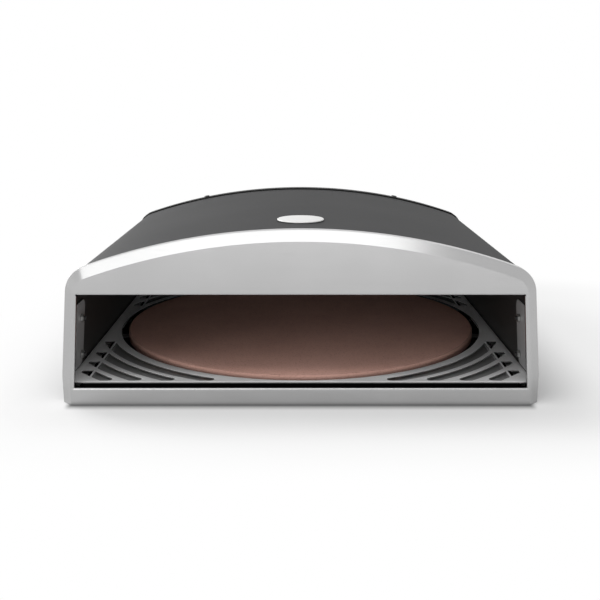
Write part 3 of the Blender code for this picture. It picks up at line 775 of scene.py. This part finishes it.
def build_hood():
    outer = body_outline(hood_inset, hood_low.z)
    inner = body_outline(hood_inset + hood_sheet, hood_low.z)
    sheet = front_solid([outer + inner[::-1]], hood_low.y, rear_y + over)
    edge = rear_line(rear_sheet + gap, -over, body_height + over)
    front = [(hood_low.y - over, body_height + over), (hood_low.y - over, -over)]
    reach = half_width + over
    mesh = combined(sheet, ('INTERSECT', side_solid([edge + front], -reach, reach)))
    # Faces towards the oven's room get the darker inner paint, partly painted shade
    split_faces(mesh, charcoal, inside_paint_and_shade, hood_is_inside)
    add_piece("hood_cover", mesh, charcoal, ["hood_shell"], edge=sheet_edge)


def rear_is_inside(centre, normal):
    """Faces on the front of the rear sheet."""
    surface = lean_across(rear_y, rear_lean, rear_sheet * inside_sheets, centre.z)
    return normal.y < -inward_share and surface < centre.y + rear_sheet


def rear_slice(inset, depth, spare):
    """Body, inset, from the inset rear surface forward to a depth, with spare room."""
    top = body_height + over
    foot = -over - spare
    reach = half_width + over
    section = front_solid([body_outline(inset, rear_low.z - spare)], rear_start_y - spare,
                          rear_y + over)
    band = rear_line(inset, foot, top) + rear_line(depth + spare, foot, top)[::-1]
    return combined(section, ('INTERSECT', side_solid([band], -reach, reach)))


def build_rear():
    cap = rear_slice(0, rear_flange, 0)
    mesh = combined(cap, ('DIFFERENCE', rear_slice(rear_sheet, rear_flange, over)))
    # Painted shade: darker paint outside and the darker inner paint on the faces towards the
    # oven
    split_faces(mesh, rear_shade_paint, inside_paint_and_shade, rear_is_inside)
    add_piece("rear_cover", mesh, rear_shade_paint, ["rear_panel"], edge=sheet_edge)


# Slotted plate, its baffles and the stone

def arc(radius, start, end, count):
    return [(radius * math.cos(start + (end - start) * step / count),
             radius * math.sin(start + (end - start) * step / count))
            for step in range(count + 1)]


def slot_outline(inner, outer):
    """A slot from the straight rib round to the front, with a round end."""
    limit = slot_front_share
    bend = slot_round_share
    reach = math.sqrt((inner + bend) ** 2 - (limit - bend) ** 2)
    middle = Vector((reach, limit - bend))
    turn = math.atan2(middle.y, middle.x)
    inner_arc = arc(inner, math.acos(rib_inner_share / inner), turn, slot_segments)
    end_arc = arc(bend, turn + math.pi, math.pi / 2, slot_end_segments)
    end = [tuple(middle + Vector(point)) for point in end_arc]
    outer_arc = arc(outer, math.asin(limit / outer), math.acos(rib_inner_share / outer),
                    slot_segments)
    return inner_arc + end[1:] + outer_arc


def tail_outline(inner, outer):
    """The four-sided end of a slot, outside the straight rib."""
    start = math.sqrt(inner ** 2 - rib_outer_share ** 2)
    tip = math.acos(tail_end_share / outer)
    foot = math.acos(rib_outer_share / outer)
    corners = [(rib_outer_share, start), (tail_end_share, start)]
    return corners + arc(outer, tip, foot, slot_end_segments)


def on_plate(shape, side, end):
    """A shape of the slots' pattern, placed on one corner of the plate."""
    return [(side * x * pattern_stretch[0], plate_y + end * y * pattern_stretch[1])
            for x, y in shape]


def rounded_rectangle(half_x, half_y, radius, middle):
    points = []
    for quarter, (sx, sy) in enumerate(((1, 1), (-1, 1), (-1, -1), (1, -1))):
        for step in range(rectangle_segments + 1):
            angle = math.pi / 2 * (quarter + step / rectangle_segments)
            points.append((middle[0] + sx * (half_x - radius) + radius * math.cos(angle),
                           middle[1] + sy * (half_y - radius) + radius * math.sin(angle)))
    return points


def fold_band(inset, low, high):
    """Band of the plate's sides and rear, open at the front."""
    front = plate_low.y + plate_fold_start
    outline = rounded_rectangle(plate_half_width, plate_half_depth, plate_corner, (0, plate_y))
    outer = [point for point in outline if point[1] > plate_y]
    inner_half = plate_half_width - inset
    inner = rounded_rectangle(inner_half, plate_half_depth - inset, plate_corner - plate_sheet,
                              (0, plate_y))
    inner = [point for point in inner if point[1] > plate_y]
    left_foot = [(-plate_half_width, front), (inset - plate_half_width, front)]
    loop = [(plate_half_width, front)] + outer + left_foot + inner[::-1] + [(inner_half, front)]
    return top_solid([loop], low, high, sheet_edge)


def is_shaded_edge(centre, normal):
    """Edges, folds and lugs, which get a darker copy of the plate's steel as painted shade."""
    from_middle = math.hypot(centre.x, centre.y - plate_y)
    return normal.z < plate_flat_share or from_middle < opening_radius


def lug_mesh(angle):
    """Bent lug that reaches under the stone from the opening's edge."""
    wall = opening_radius + gap
    tip = opening_radius - lug_reach
    top = stone_low.z - gap
    root = sheet_bottom + plate_sheet / 2
    section = [(tip, top - plate_sheet), (wall + plate_sheet, top - plate_sheet),
               (wall + plate_sheet, root), (wall, root), (wall, top), (tip, top)]
    mesh = front_solid([section], -lug_width / 2, lug_width / 2, sheet_edge)
    mesh.transform(Matrix.Translation((0, plate_y, 0)) @ Matrix.Rotation(angle, 4, 'Z'))
    return mesh


def plate_loops():
    """Outline of the plate, its round opening and its slots."""
    last = round_segments - 1
    opening = arc(opening_radius, 0, 2 * math.pi * last / round_segments, last)
    loops = [rounded_rectangle(plate_half_width, plate_half_depth, plate_corner, (0, plate_y)),
             [(x, plate_y + y) for x, y in opening]]
    for inner in slot_inner_shares:
        outer = inner + slot_width_share
        for shape in (slot_outline(inner, outer), tail_outline(inner, outer)):
            loops += [on_plate(shape, side, end) for side in (-1, 1) for end in (-1, 1)]
    return loops


def build_plate():
    pieces = [top_solid(plate_loops(), sheet_bottom, plate_top, plate_edge),
              fold_band(plate_sheet, plate_bottom, plate_top - plate_edge),
              fold_band(plate_foot, plate_bottom, plate_bottom + plate_sheet)]
    pieces += [lug_mesh(angle) for one in lug_angles for angle in (one, math.pi - one)]
    mesh = joined(pieces)
    split_faces(mesh, plate_look, plate_edge_shade, is_shaded_edge)
    add_piece("slotted_plate", mesh, plate_look, ["heat_plate"], angle=35)


def baffle_outline():
    first, last = baffle_end_shares
    ring = arc(baffle_ring_share, math.asin(last / baffle_ring_share),
               math.asin(first / baffle_ring_share), slot_segments)
    return ring + [(baffle_edge_share, first), (baffle_edge_share, last)]


def build_baffles():
    """A floor under each corner's slots, with a fold up to the plate."""
    for end, depth_name in ((-1, "front"), (1, "rear")):
        for side, name in sides:
            loop = on_plate(baffle_outline(), side, end)
            floor = top_solid([loop], baffle_low.z, baffle_low.z + baffle_sheet, sheet_edge)
            edge = side * pattern_stretch[0] * baffle_edge_share
            inner = edge - side * baffle_sheet
            near, far = sorted(plate_y + end * share * pattern_stretch[1]
                               for share in baffle_end_shares)
            fold = top_solid([[(edge, near), (edge, far), (inner, far), (inner, near)]],
                             baffle_low.z, baffle_high.z, baffle_fold_edge)
            title = depth_name + "_" + name
            add_piece("baffle_" + title, joined([floor, fold]), baffle_look,
                      ["slot_baffle_" + title], angle=35)


# Faces of the stone's side and rounded edge, which carry the painted shade
def is_stone_rim_shade(centre, normal):
    return normal.z < stone_flat_share


def build_stone():
    height = stone_high.z - stone_low.z
    profile = [(stone_radius - stone_edge / 2, 0), (stone_radius, stone_edge / 2)]
    for angle in angles(math.pi / 2, stone_edge_segments):
        profile.append((stone_radius - stone_edge + stone_edge * math.cos(angle),
                        height - stone_edge + stone_edge * math.sin(angle)))
    profile += [(stone_radius * share, height) for share in stone_ring_shares]
    mesh = turned(profile, round_segments)
    mesh.transform(Matrix.Translation((0, plate_y, stone_low.z)))
    split_faces(mesh, stone_look, stone_rim_shade, is_stone_rim_shade)
    add_piece("baking_stone", mesh, stone_look, ["pizza_stone"],
              body="stone", angle=50)


# Brackets, fixings and badge

def build_bracket(side, name):
    """Sheet inside the hood's wall and the front frame, with rounded corners."""
    rear_end = face_y + bracket_length
    inset = hood_inset + hood_sheet + gap
    offset = fascia_sheet + gap
    outer = frame_solid(inset, offset, bracket_front, rear_end + over, -over)
    inner = frame_solid(inset + bracket_sheet, offset + bracket_sheet, bracket_front - gap,
                        rear_end + over * 2, -over * 2)
    low = plate_top + bracket_lift
    middle = ((face_y + rear_end) / 2, (low + bracket_top) / 2)
    patch = rounded_rectangle(bracket_length / 2, (bracket_top - low) / 2, bracket_corner,
                              middle)
    ends = sorted((side * half_width / 2, side * (half_width + over)))
    shell = combined(outer, ('DIFFERENCE', inner))
    mesh = combined(shell, ('INTERSECT', side_solid([patch], *ends)))
    add_piece("inner_bracket_" + name, mesh, bracket_steel,
              ["fascia_bracket_" + name], edge=sheet_edge)


def screw_mesh():
    """Low round head with a cross recess, on a plain shank."""
    top = gap + screw_head_height
    profile = [(screw_shank_radius, -screw_length), (screw_shank_radius, gap),
               (screw_head_radius, gap)]
    for angle in angles(crown_end, small_round_segments):
        rise = crown_height * math.sin(angle) / math.sin(crown_end)
        profile.append((screw_head_radius - crown_inset * (1 - math.cos(angle)),
                        top - crown_height + rise))
    body = turned(profile, screw_segments)
    size = Matrix.Diagonal((recess_length, recess_width, recess_height, 1))
    arms = []
    for turn in (0, math.pi / 2):
        shape = bmesh.new()
        bmesh.ops.create_cube(shape, size=1, matrix=Matrix.Rotation(turn, 4, 'Z') @ size)
        arms.append(finish_mesh(shape, "arm"))
    cross = combined(arms[0], ('UNION', arms[1]))
    cross.transform(Matrix.Translation((0, 0, top)))
    return combined(body, ('DIFFERENCE', cross))


def nut_mesh():
    """Hexagon nut with rounded corners and a bore."""
    corner = nut_across_flats / math.sqrt(3)
    wide = corner * nut_dome_share
    inner_share, inner_rise = nut_inner_round
    outer_share, outer_drop = nut_outer_round
    body = pin(corner, -nut_height, 0, segments=6)
    dome = turned([(corner * inner_share, -nut_height), (wide, inner_rise - nut_height),
                   (wide, -outer_drop), (corner * outer_share, 0)], nut_segments)
    bore = pin(nut_bore_radius, -nut_height * 2, nut_height, bore_segments)
    return combined(body, ('INTERSECT', dome), ('DIFFERENCE', bore))


def build_fixings():
    screw = screw_mesh()
    groups = [("hood_screw_" + name, skirt_fixings(side)) for side, name in sides]
    groups += [("rear_flange_screw", flange_fixings()), ("rear_skirt_screw", rear_fixings())]
    groups += [("bracket_screw_" + name, bracket_fixings(side)) for side, name in sides]
    for stem, fixings in groups:
        for number, (place, axis) in enumerate(fixings, start=1):
            node = stem + "_" + str(number)
            add_piece(node + "_head", screw, black_screw, [node],
                      matrix=stood_up(place, axis))
    nut = nut_mesh()
    seat = -(hood_sheet + bracket_sheet + gap * 2)
    for side, name in sides:
        for number, (place, axis) in enumerate(bracket_fixings(side), start=1):
            node = "bracket_nut_" + name + "_" + str(number)
            add_piece(node + "_hex", nut, bright, [node],
                      matrix=stood_up(place + axis * seat, axis), edge=nut_edge)


def build_badge():
    """Blank disc with a rounded rim and a low dome."""
    profile = [(badge_radius - badge_foot_inset, 0), (badge_radius, badge_foot_height)]
    for angle in angles(math.pi / 2, small_round_segments):
        profile.append((badge_radius - badge_rim_width + badge_rim_width * math.cos(angle),
                        badge_rim_height + badge_rim_height * math.sin(angle)))
    profile += [(badge_radius * share, height) for share, height in badge_dome]
    mesh = turned(profile, badge_segments)
    mesh.transform(Matrix.Translation((0, badge_y, badge_seat)))
    add_piece("round_badge", mesh, badge_metal, ["badge_disc"], angle=40)


# Nodes whose solids are shown as they are

def is_void_shade(centre, normal):
    """Faces of the front rail's lip, above the plate's lower edge, which get a near-black
    painted shade.
    """
    return centre.z > plate_bottom


def dress_nodes():
    # Rails and gussets get the near-black paint that is partly painted shade
    looks = {"base_rail": rail_paint_and_shade, "corner_gusset": rail_paint_and_shade, "corner_rivet": plain_bolt,
             "plate_bolt": plain_bolt, "badge_push_nut": plain_bolt}
    for name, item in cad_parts.items():
        for stem, look in looks.items():
            if name.startswith(stem):
                item.data.materials.clear()
                item.data.materials.append(look)
    # Painted shade: the front rail's lip gets the near-black look
    split_faces(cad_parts["base_rail_front"].data, rail_paint_and_shade, rail_void_shade, is_void_shade)


build_fascia()
build_hood()
build_rear()
build_plate()
build_baffles()
build_stone()
for bracket_side, bracket_name in sides:
    build_bracket(bracket_side, bracket_name)
build_fixings()
build_badge()
dress_nodes()


# Floor, light and camera

def vector_math(tree, operation, first, second=None):
    """Vector node of a socket and a socket or plain vector; its output socket."""
    node = tree.nodes.new("ShaderNodeVectorMath")
    node.operation = operation
    tree.links.new(first, node.inputs[0])
    if isinstance(second, tuple):
        node.inputs[1].default_value = second
    elif second is not None:
        tree.links.new(second, node.inputs[1])
    return node.outputs["Value" if operation in ('LENGTH', 'DOT_PRODUCT') else "Vector"]


def sided(tree, vector, forward, backward):
    """Strength that follows a direction: its shares towards +XYZ and -XYZ."""
    unit = vector_math(tree, 'NORMALIZE', vector)
    total = tree.nodes.new("ShaderNodeMath")
    total.operation = 'ADD'
    for place, (half, shares) in enumerate((('MAXIMUM', forward), ('MINIMUM', backward))):
        part = vector_math(tree, half, unit, (0, 0, 0))
        square = vector_math(tree, 'MULTIPLY', part, part)
        tree.links.new(vector_math(tree, 'DOT_PRODUCT', square, shares), total.inputs[place])
    return total.outputs["Value"]


def mixed_shader(tree, factor, first, second):
    """The first shader where the factor is 0 and the second where it is 1."""
    mix = tree.nodes.new("ShaderNodeMixShader")
    tree.links.new(factor, mix.inputs["Fac"])
    tree.links.new(first, mix.inputs[1])
    tree.links.new(second, mix.inputs[2])
    return mix.outputs["Shader"]


def only_seen(tree, seen, lighting):
    """One shader for what the camera, metal and glass show, and another for all light."""
    path = tree.nodes.new("ShaderNodeLightPath")
    factor = path.outputs["Is Camera Ray"]
    for kind in ("Is Glossy Ray", "Is Transmission Ray"):
        either = tree.nodes.new("ShaderNodeMath")
        either.operation = 'MAXIMUM'
        tree.links.new(factor, either.inputs[0])
        tree.links.new(path.outputs[kind], either.inputs[1])
        factor = either.outputs["Value"]
    return mixed_shader(tree, factor, lighting, seen)


def glow_shader(tree, kind, strength):
    """White glow of a plain strength or of a socket's."""
    node = tree.nodes.new(kind)
    node.inputs["Color"].default_value = (1, 1, 1, 1)
    if isinstance(strength, float):
        node.inputs["Strength"].default_value = strength
    else:
        tree.links.new(strength, node.inputs["Strength"])
    return node.outputs[0]


def matt_shader(tree, tone):
    node = tree.nodes.new("ShaderNodeBsdfDiffuse")
    node.inputs["Color"].default_value = (tone, tone, tone, 1)
    return node.outputs["BSDF"]


def fade(tree, value, ends, top=1.0):
    """0 to the top as a value goes from the first end to the second, softly."""
    node = tree.nodes.new("ShaderNodeMapRange")
    node.interpolation_type = 'SMOOTHSTEP'
    node.inputs["From Min"].default_value = ends[0]
    node.inputs["From Max"].default_value = ends[1]
    node.inputs["To Max"].default_value = top
    tree.links.new(value, node.inputs["Value"])
    return node.outputs["Result"]


def even_distance(tree, vector, half_x, stretch):
    """Distance outside a footprint of this half width, stretched along the axes."""
    past = vector_math(tree, 'SUBTRACT', vector_math(tree, 'ABSOLUTE', vector),
                       (half_x, rear_y, 0))
    past = vector_math(tree, 'MAXIMUM', past, (0, 0, 0))
    return vector_math(tree, 'LENGTH', vector_math(tree, 'MULTIPLY', past, stretch))


def tail_distance(tree, vector):
    """Distance outside the oven's footprint; tail_stretch acts on its right and rear."""
    corner = (half_width, rear_y, 0)
    low = vector_math(tree, 'ADD', vector_math(tree, 'MINIMUM', vector, (0, 0, 0)), corner)
    low = vector_math(tree, 'MINIMUM', low, (0, 0, 0))
    high = vector_math(tree, 'MAXIMUM', vector_math(tree, 'SUBTRACT', vector, corner), (0, 0, 0))
    high = vector_math(tree, 'MULTIPLY', high, tail_stretch)
    return vector_math(tree, 'LENGTH', vector_math(tree, 'SUBTRACT', high, low))


def floor_material():
    """Pale floor that keeps the oven's shadow, with painted shadow and shade near the oven, and
    is plain white a little way off.
    """
    made, tree, shader, vector = new_material("floor_look")
    tree.nodes.remove(shader)
    from_middle = vector_math(tree, 'LENGTH', vector)
    from_oven = even_distance(tree, vector, half_width, (1, 1, 1))
    from_foot = even_distance(tree, vector, half_width - chamfer, foot_stretch)
    across = vector_math(tree, 'DOT_PRODUCT', vector, dim_direction)
    # Painted shade for the light the floor sends back: grey towards the right and rear, and
    # darker at the frame's foot
    near = mixed_shader(tree, fade(tree, across, floor_dim),
                        matt_shader(tree, lit_tone), matt_shader(tree, dim_tone))
    near = mixed_shader(tree, fade(tree, from_foot, floor_foot_shade),
                        matt_shader(tree, foot_shade_tone), near)
    glow = glow_shader(tree, "ShaderNodeEmission", sided(tree, vector, *floor_glow))
    lighting = mixed_shader(tree, fade(tree, from_middle, floor_fade), near, glow)
    white = glow_shader(tree, "ShaderNodeEmission", 1.0)
    # Painted contact shadow at the frame's foot, seen by the camera and in metal
    seen = mixed_shader(tree, fade(tree, from_foot, floor_contact_shadow),
                        matt_shader(tree, contact_shadow_tone), matt_shader(tree, seen_tone))
    cleared = fade(tree, from_oven, floor_clear, floor_clear_share)
    seen = mixed_shader(tree, cleared, seen, white)
    seen = mixed_shader(tree, fade(tree, tail_distance(tree, vector), floor_tail), seen, white)
    surface = only_seen(tree, seen, lighting)
    tree.links.new(surface, tree.nodes["Material Output"].inputs["Surface"])
    return made


def build_floor():
    shape = bmesh.new()
    bmesh.ops.create_circle(shape, cap_ends=True, segments=floor_segments, radius=floor_radius)
    mesh = finish_mesh(shape, "floor")
    mesh.materials.append(floor_material())
    floor = bpy.data.objects.new("floor", mesh)
    floor.location.z = -floor_drop
    scene.collection.objects.link(floor)


def build_world():
    """White to the camera, metal and glass; to the rest, soft light from above, the
    front and the sides."""
    world = bpy.data.worlds.new("studio")
    scene.world = world
    world.use_nodes = True
    tree = world.node_tree
    direction = tree.nodes.new("ShaderNodeTexCoord").outputs["Generated"]
    white = glow_shader(tree, "ShaderNodeBackground", 1.0)
    room = glow_shader(tree, "ShaderNodeBackground", sided(tree, direction, *room_light))
    surface = only_seen(tree, white, room)
    tree.links.new(surface, tree.nodes["World Output"].inputs["Surface"])
    tree.nodes.remove(tree.nodes["Background"])


def area_light(name, place, target, width, height, power):
    data = bpy.data.lights.new(name, 'AREA')
    data.shape = 'RECTANGLE'
    data.size = width
    data.size_y = height
    data.energy = power
    lamp = bpy.data.objects.new(name, data)
    lamp.location = place
    lamp.rotation_mode = 'QUATERNION'
    lamp.rotation_quaternion = (Vector(target) - Vector(place)).to_track_quat('-Z', 'Y')
    scene.collection.objects.link(lamp)


def build_camera():
    data = bpy.data.cameras.new("camera")
    data.lens = camera_lens
    data.sensor_width = camera_sensor
    camera = bpy.data.objects.new("camera", data)
    camera.location = (camera_side, face_y - camera_distance, plate_top + camera_rise)
    camera.rotation_euler = (math.radians(90 - camera_pitch), 0, 0)
    scene.collection.objects.link(camera)
    scene.camera = camera


build_floor()
build_world()
for lamp_values in lamps:
    area_light(*lamp_values)
build_camera()
